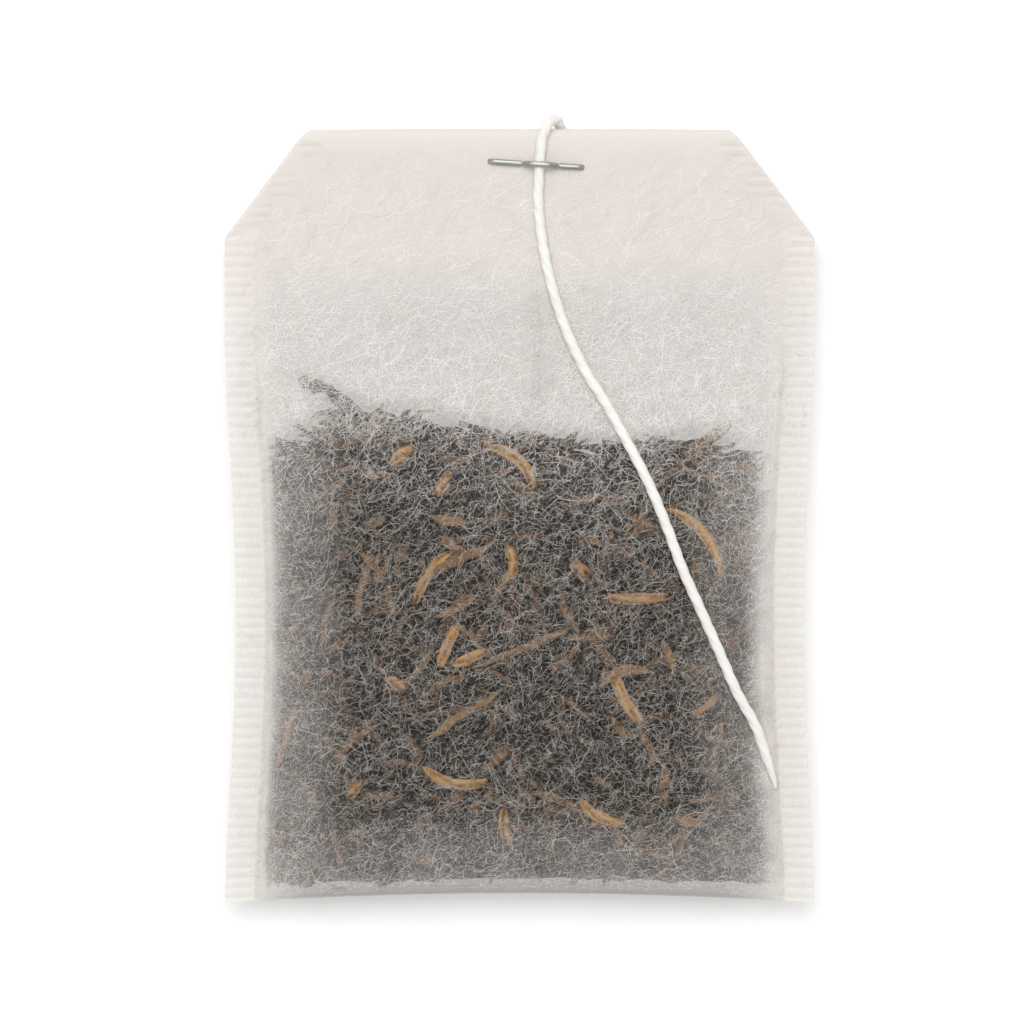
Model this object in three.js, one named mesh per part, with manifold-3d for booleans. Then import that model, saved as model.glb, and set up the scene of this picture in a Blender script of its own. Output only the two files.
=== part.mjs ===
// A flat tea bag lying on its back: one folded sheet of filter paper, loose leaf tea, a string and a staple.
// Millimetres. X runs across the bag, Y from the bottom fold to the top fold, Z up from the table.

import * as THREE from "three";
import { mergeVertices } from "three/addons/utils/BufferGeometryUtils.js";
import Module from "manifold-3d";

const wasm = await Module();
wasm.setup();

// Outline of the folded bag
const bagWidth = 50;
const bagHeight = 65.6;
const cornerWidth = 7;
const cornerHeight = 9.3;
const flapLength = 12.2;
const sealWidth = 2.5;
const sideWaist = 0.95;
const waistAboveBottom = 24;
const waistReach = 26;
const bottomLift = 0.8;
const liftReach = 9;

// Sheet and layers
const paper = 0.1;
const layerGap = 0.15;

// Pouch: the seals lie this far above the table, and the front swells above them
const sealLevel = 3.8;
const frontRise = 2.8;
const backSwell = 1.35;
const bottomRound = 4.5;
const shoulderRun = 23;
const pouchToFlap = 1;

// Loose tea
const contactGap = 0.25;
const curlRadius = 0.45;
const headSpace = 10.2;
const teaGap = 0.5;
const teaSideGap = 1.2;
const teaEdgeDips = [3, 0, 0.3, 1.1, 2, 2.7, 3, 2.2, 4.7];

// Staple
const wireDiameter = 0.6;
const legClearance = 0.35;
const crownLength = 7.8;
const crownCentreX = 1.4;
const stapleBelowTop = 3.05;
const crownTilt = -0.065;
const saddleCentreX = 1.75;
const saddleHalfLength = 1.7;
const clinchLength = 3.1;
const wireBend = 0.9;
const wireSides = 8;
const wireSteps = 64;

// String
const stringDiameter = 1;
const stringSides = 8;
const stringSteps = 78;

// Levels and places that follow from the sizes above
const halfWidth = bagWidth / 2;
const topY = bagHeight / 2;
const bottomY = -bagHeight / 2;
const shoulderY = topY - cornerHeight;
const flapEndY = topY - flapLength;
const cornerSlope = cornerWidth / cornerHeight;
const bodyHalf = paper + layerGap / 2;
const earTop = bodyHalf + layerGap;
const earUnder = earTop + 2 * paper;
const turnRadius = earUnder + layerGap / 2;
const foldY = topY - turnRadius - bodyHalf;
const turnLength = Math.PI * turnRadius;
const mouthY = foldY + turnLength + foldY - flapEndY;
const flapBack = sealLevel - 2 * turnRadius - bodyHalf;
const pouchTopY = flapEndY - pouchToFlap;
const taperY = pouchTopY - shoulderRun;
const teaTopY = pouchTopY - headSpace;
const stapleY = topY - stapleBelowTop;

// Half width of the bag's outline at height y, before the top is turned over.
function outlineAt(y) {
  if (y > shoulderY) {
    return halfWidth - (y - shoulderY) * cornerSlope;
  }
  const t = (y - bottomY - waistAboveBottom) / waistReach;
  return halfWidth - sideWaist * Math.max(0, 1 - t * t) ** 2;
}

// Half width of the pocket between the two pressed margins.
function pocketAt(y) {
  return outlineAt(y) - sealWidth;
}

// Swell of the pouch across its width, 1 in the middle and 0 at the seals.
function swellAcross(x, y) {
  const share = Math.min(1, Math.abs(x) / pocketAt(y));
  return Math.pow(1 - share ** 4, 0.75);
}

// Swell of the pouch along its length: a round bottom, a full middle, and a long taper up to the flap.
function swellAlong(y, inset) {
  const up = y - bottomY - inset;
  const round = bottomRound - inset;
  if (up <= 0 || y >= pouchTopY) {
    return 0;
  }
  if (up < round) {
    return Math.sqrt(1 - (1 - up / round) ** 2);
  }
  if (y < taperY) {
    return 1;
  }
  return (1 + Math.cos((Math.PI * (y - taperY)) / shoulderRun)) / 2;
}

// Height of the pocket's front wall above the seals at a place, and its depth below them at the back.
function pocketFront(x, y, inset) {
  return swellAcross(x, y) * (layerGap / 2 + frontRise * swellAlong(y, inset));
}

function pocketBack(x, y, inset) {
  const depth = layerGap / 2 + backSwell * sealLevel * swellAlong(y, inset);
  return Math.min(sealLevel - paper, swellAcross(x, y) * depth);
}

// The bottom fold is drawn up in its middle by the filling.
function lifted(ring) {
  return ring.map(([x, y, z]) => {
    const share = x / halfWidth;
    const fade = Math.max(0, 1 - (y - bottomY) / liftReach);
    return [x, y + bottomLift * (1 - share * share) * fade, z];
  });
}

// Skins a stack of closed rings, each with the same number of points, whose first and last rings are flat.
function skin(rings) {
  const count = rings[0].length;
  const corners = [];
  for (let r = 0; r + 1 < rings.length; r += 1) {
    for (let k = 0; k < count; k += 1) {
      const a = r * count + k;
      const b = r * count + ((k + 1) % count);
      corners.push(a, b, b + count, a, b + count, a + count);
    }
  }
  const loose = new THREE.BufferGeometry();
  loose.setAttribute("position", new THREE.Float32BufferAttribute(rings.flat(2), 3));
  loose.setIndex(corners);
  const geometry = mergeVertices(loose, 1e-4);
  const merged = Array.from(geometry.index.array);
  const kept = [];
  for (let i = 0; i < merged.length; i += 3) {
    const [a, b, c] = merged.slice(i, i + 3);
    if (a !== b && b !== c && c !== a) {
      kept.push(a, b, c);
    }
  }
  geometry.setIndex(kept);
  return geometry;
}

// Closed solids for cutting, and the way back to a geometry.
function toSolid(source) {
  const geometry = source.clone();
  geometry.deleteAttribute("normal");
  geometry.deleteAttribute("uv");
  const merged = mergeVertices(geometry);
  const vertProperties = new Float32Array(merged.attributes.position.array);
  const triVerts = new Uint32Array(merged.index.array);
  return new wasm.Manifold(new wasm.Mesh({ numProp: 3, vertProperties, triVerts }));
}

function toGeometry(solid) {
  const mesh = solid.getMesh();
  const geometry = new THREE.BufferGeometry();
  geometry.setAttribute("position", new THREE.BufferAttribute(mesh.vertProperties, 3));
  geometry.setIndex(new THREE.BufferAttribute(mesh.triVerts, 1));
  return geometry;
}

function steps(from, to, count) {
  return Array.from({ length: count + 1 }, (_, i) => from + ((to - from) * i) / count);
}

// Filter bag: the folded sheet

// A top corner of the flat bag is turned behind along its slanted crease, and lands as a mirror image.
const slant = Math.hypot(cornerWidth, cornerHeight);
const cornerReach = mouthY - shoulderY;
const earTipX = halfWidth - (2 * cornerReach * cornerWidth * cornerHeight) / slant ** 2;
const earTipY = mouthY - (2 * cornerReach * cornerWidth ** 2) / slant ** 2;
const mouthHalfWidth = outlineAt(mouthY);

// Distance from the middle of the bag to the inner edge of a turned-in corner at height y.
function earInnerX(y) {
  if (y < earTipY) {
    return THREE.MathUtils.mapLinear(y, shoulderY, earTipY, halfWidth, earTipX);
  }
  return THREE.MathUtils.mapLinear(y, earTipY, mouthY, earTipX, mouthHalfWidth);
}

// Rolls what lies above the fold line over a round edge, to hang down behind the bag.
function turnOver([x, y, z]) {
  const past = y - foldY;
  if (past <= 0) {
    return [x, y, z];
  }
  const axisZ = sealLevel - turnRadius;
  const radius = z - axisZ;
  const angle = Math.min(Math.PI, past / turnRadius);
  const hang = Math.max(0, past - turnLength);
  return [x, foldY + radius * Math.sin(angle) - hang, axisZ + radius * Math.cos(angle)];
}

const pocketColumns = 16;
const columnShares = steps(-1, 1, pocketColumns).map((t) => Math.sin((t * Math.PI) / 2) * 0.6 + t * 0.4);

// Points round one side edge, from front to back: a pressed rim, or a crease with the corner turned behind.
function rimPoints(y, side) {
  const edge = outlineAt(y);
  if (y <= shoulderY || y >= mouthY) {
    return Array.from({ length: 8 }, () => [side * edge, y, sealLevel - paper]);
  }
  const bend = (paper + earUnder) / 2;
  const axisZ = sealLevel + paper - bend;
  const crease = edge - bend;
  const inner = Math.min(earInnerX(y), crease);
  const arc = [1, 2, 3].map((i) => (i * Math.PI) / 4);
  const round = arc.map((a) => [side * (crease + bend * Math.sin(a)), y, axisZ + bend * Math.cos(a)]);
  return [
    ...round,
    [side * crease, y, sealLevel - earUnder],
    [side * inner, y, sealLevel - earUnder],
    [side * inner, y, sealLevel - earTop],
    [side * crease, y, sealLevel - earTop],
    [side * crease, y, sealLevel - paper],
  ];
}

// One ring of the outer skin at height y: front wall, right rim, back wall, left rim.
function outerRing(y) {
  const turned = y > shoulderY && y < mouthY;
  const edge = outlineAt(y) - (turned ? (paper + earUnder) / 2 : 0);
  const columns = columnShares.map((s) => s * pocketAt(y));
  const front = [-edge, ...columns, edge].map((x) => [x, y, sealLevel + paper + pocketFront(x, y, 0)]);
  const back = columns.map((x) => [x, y, sealLevel - paper - pocketBack(x, y, 0)]).reverse();
  return [...front, ...rimPoints(y, 1), ...back, ...rimPoints(y, -1).reverse()];
}

// One ring of the inner skin, with as many points, where the rims close on the seals' inner edges.
function innerRing(y) {
  const pocket = pocketAt(y);
  const columns = columnShares.map((s) => s * pocket);
  const front = columns.map((x) => [x, y, sealLevel + pocketFront(x, y, paper)]);
  const back = columns.map((x) => [x, y, sealLevel - pocketBack(x, y, paper)]).reverse();
  const closed = (side) => Array.from({ length: 8 }, () => [side * pocket, y, sealLevel]);
  return [front[0], ...front, front.at(-1), ...closed(1), ...back, ...closed(-1)];
}

const flatten = (ring) => ring.map(([x, y]) => [x, y, sealLevel]);

function filterBag() {
  const rounded = steps(0, Math.PI / 2, 5).map((a) => bottomRound * (1 - Math.cos(a)));
  const heights = [
    ...rounded.map((up) => bottomY + up),
    ...steps(bottomY + bottomRound, taperY, 5).slice(1),
    ...steps(taperY, pouchTopY, 8).slice(1),
    shoulderY,
    shoulderY + cornerHeight / 8,
    earTipY,
    foldY,
    ...steps(foldY, foldY + turnLength, 6).slice(1),
    ...steps(foldY + turnLength, mouthY, 3).slice(1),
  ];
  heights.sort((a, b) => a - b);
  const outer = heights.map(outerRing);
  const inner = [bottomY + paper, ...heights.slice(1)].map(innerRing).reverse();
  const rings = [flatten(outer[0]), ...outer, ...inner, flatten(inner.at(-1))];
  const sheet = toSolid(skin(rings.map((ring) => lifted(ring).map(turnOver))));
  return toGeometry(legHoles().reduce((solid, hole) => solid.subtract(toSolid(hole)), sheet));
}

// Holes that the staple's two legs pass through, in every layer.
function legHoles() {
  const radius = wireDiameter / 2 + legClearance;
  const height = 4 * turnRadius;
  return [-1, 1].map((side) => {
    const hole = new THREE.CylinderGeometry(radius, radius, height, 12);
    hole.rotateX(Math.PI / 2);
    const x = crownCentreX + (side * crownLength) / 2;
    return hole.translate(x, crownY(x), sealLevel - turnRadius);
  });
}

// Tea: one bed of loose leaf, with the larger curled leaves that lie on it under the paper

const teaEdge = new THREE.SplineCurve(teaEdgeDips.map((dip, i) => new THREE.Vector2(i, dip)));

function teaBed() {
  const floorY = bottomY + paper + 2 * teaGap;
  const across = steps(-1, 1, 16).map((t) => Math.sin((t * Math.PI) / 2));
  const up = steps(0, 1, 14).map((t) => t - Math.sin(2 * Math.PI * t) / 12);
  const rings = up.map((share) => {
    const places = across.map((s) => {
      const dip = teaEdge.getPoint((s + 1) / 2).y;
      const y = floorY + share * (teaTopY - dip - floorY);
      return [s * (pocketAt(y) - teaSideGap), y];
    });
    const top = places.map(([x, y]) => [x, y, teaTop(x, y)]);
    const under = places.map(([x, y]) => [x, y, teaUnder(x, y)]);
    return [...top, ...under.reverse()];
  });
  const level = (ring) => ring.map(([x, y]) => [x, y, (teaTop(x, y) + teaUnder(x, y)) / 2]);
  const bed = [level(rings[0]), ...rings, level(rings.at(-1))];
  return skin(bed.map(lifted));
}

function underPaper(x, y) {
  return sealLevel + pocketFront(x, y, paper) - contactGap;
}

function teaTop(x, y) {
  const room = underPaper(x, y) - 2 * curlRadius - contactGap;
  return Math.max(room, teaUnder(x, y) + paper);
}

function teaUnder(x, y) {
  return sealLevel - pocketBack(x, y, paper) + teaGap;
}

// Curled leaves: place across and up the filling as shares, heading and bend in degrees, length in millimetres.
const curls = [
  { across: -0.01, up: 0.89, heading: -40, length: 6, bend: -85 },
  { across: -0.48, up: 0.9, heading: 40, length: 2.6, bend: -50 },
  { across: -0.31, up: 0.84, heading: 60, length: 2.4, bend: 30 },
  { across: -0.03, up: 0.68, heading: -90, length: 3.4, bend: -70 },
  { across: -0.38, up: 0.66, heading: -125, length: 5.6, bend: 55 },
  { across: -0.3, up: 0.52, heading: -113, length: 4.4, bend: 25 },
  { across: -0.21, up: 0.49, heading: 25, length: 3.4, bend: 10 },
  { across: -0.51, up: 0.44, heading: -30, length: 2, bend: 20 },
  { across: 0.76, up: 0.74, heading: -50, length: 8, bend: -75 },
  { across: 0.49, up: 0.61, heading: 0, length: 5.6, bend: 12 },
  { across: 0.25, up: 0.67, heading: -35, length: 1.8, bend: 0 },
  { across: 0.43, up: 0.41, heading: -62, length: 5.4, bend: 45 },
  { across: -0.27, up: 0.24, heading: -12, length: 6, bend: 75 },
  { across: 0.32, up: 0.17, heading: -30, length: 4.8, bend: 65 },
  { across: -0.06, up: 0.145, heading: -80, length: 4, bend: 40 },
  { across: -0.67, up: 0.23, heading: 55, length: 2, bend: 0 },
  { across: 0.77, up: 0.93, heading: 36, length: 5, bend: 10 },
];

// A leaf rolled into a rod, thin at both ends, that follows an arc close under the front paper.
function leafCurl({ across, up, heading, length, bend }) {
  const ringCount = 9;
  const sides = 6;
  const y0 = bottomY + up * (teaTopY - bottomY);
  const x0 = across * (pocketAt(y0) - teaSideGap);
  const turn = THREE.MathUtils.degToRad(bend);
  const middle = THREE.MathUtils.degToRad(heading);
  const rings = steps(-0.5, 0.5, ringCount - 1).map((t) => {
    const angle = middle + (turn * t) / 2;
    const x = x0 + length * t * Math.cos(angle);
    const y = y0 + length * t * Math.sin(angle);
    const radius = curlRadius * Math.sqrt(Math.max(0, 1 - (2 * t) ** 2));
    const sideways = middle + turn * t + Math.PI / 2;
    const z = underPaper(x, y) - curlRadius;
    return Array.from({ length: sides }, (_, k) => {
      const a = (2 * Math.PI * k) / sides;
      const out = radius * Math.cos(a);
      return [x + out * Math.cos(sideways), y + out * Math.sin(sideways), z + radius * Math.sin(a)];
    });
  });
  return skin(rings.map(lifted));
}

// Staple: one bent wire whose crown arches over the string, with both legs clinched behind the flap

function crownY(x) {
  return stapleY + (x - crownCentreX) * crownTilt;
}

// A round section swept along a curve.
function sweep(curve, diameter, sides, count) {
  const ring = steps(0, 2 * Math.PI, sides).slice(0, -1);
  const corners = ring.map((a) => new THREE.Vector2(Math.cos(a), Math.sin(a)).multiplyScalar(diameter / 2));
  return new THREE.ExtrudeGeometry(new THREE.Shape(corners), { steps: count, extrudePath: curve });
}

// Straight runs joined by bends, as a wire former leaves them.
function bentPath(points, bendReach) {
  const path = new THREE.CurvePath();
  let from = points[0];
  for (let i = 1; i + 1 < points.length; i += 1) {
    const corner = points[i];
    const reach = (other) => Math.min(bendReach, corner.distanceTo(other) / 2);
    const toward = (other) => other.clone().sub(corner).setLength(reach(other)).add(corner);
    const start = toward(points[i - 1]);
    const end = toward(points[i + 1]);
    path.add(new THREE.LineCurve3(from, start));
    path.add(new THREE.QuadraticBezierCurve3(start, corner, end));
    from = end;
  }
  path.add(new THREE.LineCurve3(from, points.at(-1)));
  return path;
}

function staple() {
  const radius = wireDiameter / 2;
  const low = sealLevel + bodyHalf + contactGap + radius;
  const high = low + stringDiameter + contactGap;
  const behind = flapBack - 2 * contactGap - stringDiameter - radius;
  const left = crownCentreX - crownLength / 2;
  const right = crownCentreX + crownLength / 2;
  const route = [
    [left + clinchLength, behind],
    [left, behind],
    [left, low],
    [saddleCentreX - saddleHalfLength, low],
    [saddleCentreX - saddleHalfLength / 2, high],
    [saddleCentreX + saddleHalfLength / 2, high],
    [saddleCentreX + saddleHalfLength, low],
    [right, low],
    [right, behind],
    [right - clinchLength, behind],
  ];
  const points = route.map(([x, z]) => new THREE.Vector3(x, crownY(x), z));
  return sweep(bentPath(points, wireBend), wireDiameter, wireSides, wireSteps);
}

// String: from its hidden end behind the flap, over the top edge, under the staple and down the front.
const stringRoute = [
  [3.4, 26.6, 1.65],
  [3.5, 28.2, 1.65],
  [3.6, 29.8, 1.65],
  [3.7, 31.3, 1.65],
  [3.6, 32.6, 1.8],
  [3.2, 33.5, 2.75],
  [2.75, 33.5, 3.65],
  [2.3, 33, 4.45],
  [1.9, 31.8, 4.8],
  [1.75, 30.4, 4.8],
  [1.65, 28.9, 4.8],
  [1.6, 26.3, 4.8],
  [2, 22.8, 4.8],
  [2.8, 19.2, 4.82],
  [4, 15.6, 5.02],
  [5.7, 12, 5.5],
  [7.1, 9.8, 5.9],
  [9.1, 6.2, 6.5],
  [10.9, 2.7, 7],
  [12.4, -0.9, 7.25],
  [13.7, -4.4, 7.25],
  [15.3, -8, 7.05],
  [16.9, -11.6, 6.75],
  [18.4, -15, 6.42],
  [19.9, -17.7, 6],
  [20.9, -20.5, 5.6],
  [21.5, -22.3, 5.25],
  [21.7, -23.2, 5.1],
];

function string() {
  const curve = new THREE.CatmullRomCurve3(stringRoute.map((place) => new THREE.Vector3(...place)));
  return sweep(curve, stringDiameter, stringSides, stringSteps);
}

// Materials and assembly
function finish(color, roughness, metalness) {
  return new THREE.MeshStandardMaterial({ color, roughness, metalness });
}

const teaBag = new THREE.Group();

function addPiece(name, geometry, material) {
  const mesh = new THREE.Mesh(geometry, material);
  mesh.name = name;
  teaBag.add(mesh);
}

addPiece("filter_bag", filterBag(), finish(0xe8e2d8, 0.9, 0));
addPiece("tea_bed", teaBed(), finish(0x2c2622, 0.85, 0));
curls.forEach((curl, i) => {
  const number = String(i + 1).padStart(2, "0");
  addPiece(`leaf_curl_${number}`, leafCurl(curl), finish(0xa06c2e, 0.7, 0));
});
addPiece("string", string(), finish(0xf1ece5, 0.9, 0));
addPiece("staple", staple(), finish(0xb4b4b0, 0.35, 1));

export default teaBag;
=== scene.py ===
# %% [markdown]
# # A flat tea bag with a stapled string
# One strip of thin filter paper is pressed together along both sides, filled with loose black tea, folded
# over at the top and stapled to a cotton string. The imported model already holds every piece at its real
# size and place. This lesson starts from it and replaces each plain solid by a finer one, where it lies.

# %% Load the frame
import math

import bmesh
import bpy
import numpy as np
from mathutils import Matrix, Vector, noise


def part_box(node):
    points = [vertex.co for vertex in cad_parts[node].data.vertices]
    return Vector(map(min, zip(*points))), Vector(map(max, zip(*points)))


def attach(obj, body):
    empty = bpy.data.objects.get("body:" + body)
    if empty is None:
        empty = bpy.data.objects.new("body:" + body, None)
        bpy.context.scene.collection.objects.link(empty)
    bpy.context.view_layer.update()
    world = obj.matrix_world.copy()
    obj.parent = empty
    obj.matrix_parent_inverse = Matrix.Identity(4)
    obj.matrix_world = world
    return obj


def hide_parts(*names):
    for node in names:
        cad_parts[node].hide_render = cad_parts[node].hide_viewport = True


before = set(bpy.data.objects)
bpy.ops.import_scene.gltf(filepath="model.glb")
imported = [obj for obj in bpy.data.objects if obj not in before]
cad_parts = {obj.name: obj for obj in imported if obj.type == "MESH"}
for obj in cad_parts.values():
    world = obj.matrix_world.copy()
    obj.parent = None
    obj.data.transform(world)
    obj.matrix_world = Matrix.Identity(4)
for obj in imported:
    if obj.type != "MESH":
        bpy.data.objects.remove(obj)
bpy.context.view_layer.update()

MM = 0.001
scene = bpy.context.scene
chance = np.random.default_rng(312)

# %% [markdown]
# ## Camera
# The bag lies on its back, so the camera looks straight down. A long lens from 60 cm keeps both sides of
# the bag upright in the picture; a short lens close by would lean them outwards.

# %% Camera above the table
seal_level = 3.8 * MM
camera_height = 600 * MM
view_width = 86.8 * MM
view_centre = (-0.64 * MM, 0.3 * MM)
camera_data = bpy.data.cameras.new("camera")
camera_data.sensor_width = 36
camera_data.lens = camera_data.sensor_width * (camera_height - seal_level) / view_width
camera = bpy.data.objects.new("camera", camera_data)
camera.location = (*view_centre, camera_height)
scene.collection.objects.link(camera)
scene.camera = camera
print("lens in mm:", round(camera_data.lens, 1))

# %% [markdown]
# ## The shape of the folded bag
# String, staple, tea and fibres all lie on or under the paper, so its shape is written first, as a few
# functions that give the height of the front and back wall at any place. They take whole arrays, because
# later thousands of points ask for their height at once.

# %% Sizes of the bag
bag_low, bag_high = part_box("filter_bag")
half_width = (bag_high.x - bag_low.x) / 2
top_y = bag_high.y
bottom_y = bag_low.y
corner_width = 7 * MM
corner_height = 9.3 * MM
flap_length = 12.2 * MM
seal_width = 2.5 * MM
side_waist = 0.95 * MM
waist_above_bottom = 24 * MM
waist_reach = 26 * MM
bottom_lift = 0.8 * MM
lift_reach = 9 * MM
paper = 0.1 * MM
layer_gap = 0.15 * MM
front_rise = 2.8 * MM
back_swell = 1.35 * seal_level
bottom_round = 4.5 * MM
shoulder_run = 23 * MM

shoulder_y = top_y - corner_height
corner_slope = corner_width / corner_height
body_half = paper + layer_gap / 2
ear_top = body_half + layer_gap
ear_under = ear_top + 2 * paper
turn_radius = ear_under + layer_gap / 2
fold_y = top_y - turn_radius - body_half
turn_length = math.pi * turn_radius
flap_end_y = top_y - flap_length
mouth_y = fold_y + turn_length + fold_y - flap_end_y
pouch_top_y = flap_end_y - 1 * MM
taper_y = pouch_top_y - shoulder_run
print("mouth of the sheet, before folding, at mm:", round(mouth_y / MM, 2))

# %% Outline and swell
def ramp(value, start, end):
    """0 at start, 1 at end, with a smooth rise between."""
    t = np.clip((value - start) / (end - start), 0, 1)
    return t * t * (3 - 2 * t)


def outline(y):
    t = (y - bottom_y - waist_above_bottom) / waist_reach
    waisted = half_width - side_waist * np.clip(1 - t * t, 0, None) ** 2
    return np.where(y > shoulder_y, half_width - (y - shoulder_y) * corner_slope, waisted)


def pocket(y):
    return outline(y) - seal_width


def swell_across(x, y):
    share = np.clip(np.abs(x) / pocket(y), 0, 1)
    return (1 - share**4) ** 0.75


def swell_along(y, inset):
    rise = np.clip((y - bottom_y - inset) / (bottom_round - inset), 0, 1)
    rounded = np.sqrt(1 - (1 - rise) ** 2)
    fall = np.clip((y - taper_y) / shoulder_run, 0, 1)
    return rounded * (1 + np.cos(np.pi * fall)) / 2


def lift_bottom(x, y):
    fade = np.clip(1 - (y - bottom_y) / lift_reach, 0, 1)
    return y + bottom_lift * (1 - (x / half_width) ** 2) * fade


# %% Where the tea lies
tea_edge_dips = np.array([3, 0, 0.3, 1.1, 2, 2.7, 3, 2.2, 4.7]) * MM
tea_side_gap = 1.2 * MM
tea_top_y = pouch_top_y - 10.2 * MM
tea_floor_y = bottom_y + 1.1 * MM


def tea_edge(x):
    """Height of the filling's uneven top edge above each x."""
    shares = np.linspace(-1, 1, len(tea_edge_dips))
    across = x / (half_width - seal_width - tea_side_gap)
    return tea_top_y - np.interp(across, shares, tea_edge_dips)


def tea_cover(x, y):
    """1 where the paper lies on tea, 0 where there is none, soft along the edges of the filling."""
    above = ramp(tea_edge(x) - y, -1.2 * MM, 2.2 * MM)
    beside = ramp(pocket(y) - np.abs(x), 0.3 * MM, 3.4 * MM)
    below = ramp(y - bottom_y, 0.4 * MM, 3 * MM)
    return above * beside * below


# %% Small relief of the paper
crimp_pitch = 0.85 * MM
crimp_depth = 0.07 * MM


def bumps(x, y, size, layer):
    """Smooth bumps between -1 and 1, about one size wide; each layer number gives other bumps."""
    x, y = np.broadcast_arrays(x, y)
    flat = [noise.noise(Vector((a / size, b / size, layer))) for a, b in zip(x.ravel(), y.ravel())]
    return np.array(flat).reshape(x.shape)


def crimp(x, y):
    """Ridges that the pressing wheel leaves across the seals, and faint ones along the slanted corners."""
    ridge = np.cos(2 * np.pi * (y - bottom_y) / crimp_pitch)
    side = ramp(np.abs(x) - pocket(y), 0, 0.4 * MM) * (y < shoulder_y)
    slant = ramp(np.abs(x) - pocket(y), 0, 0.8 * MM) * ramp(y, shoulder_y - crimp_pitch, shoulder_y)
    fresh = ramp(bumps(x, y, 3 * MM, 4), -0.3, 0.25)
    return crimp_depth * ridge * (side + 1.2 * slant * fresh) * (y < fold_y)


def relief(x, y):
    """Lumps over the leaves, soft wrinkles above them and one pressed ridge under the string."""
    inside = ramp(pocket(y) - np.abs(x), 0, 1.5 * MM) * ramp(pouch_top_y + 1.5 * MM - y, 0, 3 * MM)
    inside = inside * ramp(y - bottom_y, 0.5 * MM, 2.5 * MM)
    cover = tea_cover(x, y)
    lumps = 0.13 * MM * bumps(x, y, 2.1 * MM, 1) + 0.2 * MM * bumps(x, y, 5.5 * MM, 2)
    wrinkles = 0.16 * MM * bumps(x, 0.45 * y, 5 * MM, 3)
    ridge_middle = 1.75 * MM + 0.3 * MM * np.sin(y / (3 * MM))
    ridge = 0.32 * MM * np.exp(-(((x - ridge_middle) / (0.55 * MM)) ** 2))
    ridge = ridge * ramp(y, 8.5 * MM, 11 * MM)
    return inside * (cover * lumps + (1 - cover) * (wrinkles + ridge))


def front_wall(x, y, inset=0):
    rise = swell_across(x, y) * (layer_gap / 2 + front_rise * swell_along(y, inset))
    return seal_level + rise + relief(x, y) + crimp(x, y)


def back_wall(x, y, inset=0):
    depth = swell_across(x, y) * (layer_gap / 2 + back_swell * swell_along(y, inset))
    return seal_level - np.minimum(seal_level - paper, depth) + crimp(x, y)


middle = np.array([0.0])
print("thickness at the middle in mm:", round(float(front_wall(middle, middle)[0] / MM), 2))

# %% [markdown]
# ## Tubes
# String, staple and curled leaves are all round sections led along a line. A grid is rolled up for this:
# its rows follow the line, its columns go round it, and the first and last row are drawn to a point so that
# the tube is closed. Carrying the side vector along without twisting it keeps the tube from wringing.

# %% Grid, tube and piece helpers
def grid_of(columns, rows):
    """A flat grid, with the column and the row that each of its vertices is in."""
    bm = bmesh.new()
    bmesh.ops.create_grid(bm, x_segments=columns, y_segments=rows, size=1)
    flat = np.array([vert.co[:2] for vert in bm.verts])
    counts = np.rint((flat + 1) / 2 * (columns, rows)).astype(int)
    return bm, counts[:, 0], counts[:, 1]


def move_to(bm, places):
    for vert, place in zip(bm.verts, places):
        vert.co = place


def close_up(bm):
    """Merges the seams and points of a rolled grid, and turns its faces outwards."""
    bmesh.ops.remove_doubles(bm, verts=bm.verts[:], dist=0.0005 * MM)
    bmesh.ops.dissolve_degenerate(bm, edges=bm.edges[:], dist=0.0002 * MM)
    bmesh.ops.recalc_face_normals(bm, faces=bm.faces[:])


def add_piece(name, mesh, material, sharp_angle=60):
    mesh.name = name
    mesh.shade_smooth()
    mesh.set_sharp_from_angle(angle=math.radians(sharp_angle))
    mesh.materials.clear()
    mesh.materials.append(material)
    piece = bpy.data.objects.new(name, mesh)
    scene.collection.objects.link(piece)
    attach(piece, "root")
    return piece


def to_mesh(bm, name):
    mesh = bpy.data.meshes.new(name)
    bm.to_mesh(mesh)
    bm.free()
    return mesh


def unit(vectors):
    return vectors / np.linalg.norm(vectors, axis=-1, keepdims=True)


def frames_along(line):
    """Two vectors across a line at each of its points, carried along without twisting."""
    ahead = unit(np.gradient(line, axis=0))
    side = np.cross(ahead[0], (0, 0, 1))
    sides = []
    for direction in ahead:
        side = unit(side - direction * (side @ direction))
        sides.append(side)
    sides = np.array(sides)
    return sides, np.cross(sides, ahead)


def smooth_line(points, spacing):
    """A smooth curve through the points, cut into steps of equal length."""
    ends = [2 * points[0] - points[1], *points, 2 * points[-1] - points[-2]]
    t = np.linspace(0, 1, 24, endpoint=False)[:, None]
    spans = []
    for a, b, c, d in zip(ends, ends[1:], ends[2:], ends[3:]):
        cubic = (2 * a - 5 * b + 4 * c - d) * t**2 + (3 * b - a - 3 * c + d) * t**3
        spans.append(b + ((c - a) * t + cubic) / 2)
    fine = np.vstack([*spans, points[-1:]])
    run = np.append(0, np.cumsum(np.linalg.norm(np.diff(fine, axis=0), axis=1)))
    even = np.linspace(0, run[-1], round(run[-1] / spacing) + 1)
    return np.stack([np.interp(even, run, fine[:, k]) for k in range(3)], axis=1)


def tube(line, columns, girth):
    """Rolls a grid round a line; girth gives its half width and height at an angle and share of length."""
    rows = len(line) - 1
    bm, column, row = grid_of(columns, rows)
    sides, ups = frames_along(line)
    angle = 2 * np.pi * column / columns
    half_side, half_up = girth(angle, row / rows)
    out = (half_side * np.cos(angle))[:, None] * sides[row]
    move_to(bm, line[row] + out + (half_up * np.sin(angle))[:, None] * ups[row])
    return bm, angle, row


# %% [markdown]
# ## Materials that share a grain
# Paper and cotton are made of fibres, so one node group draws fine curved lines: where a soft noise
# crosses its middle value there is a thin line. Each material places the group with its own scale.

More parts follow.
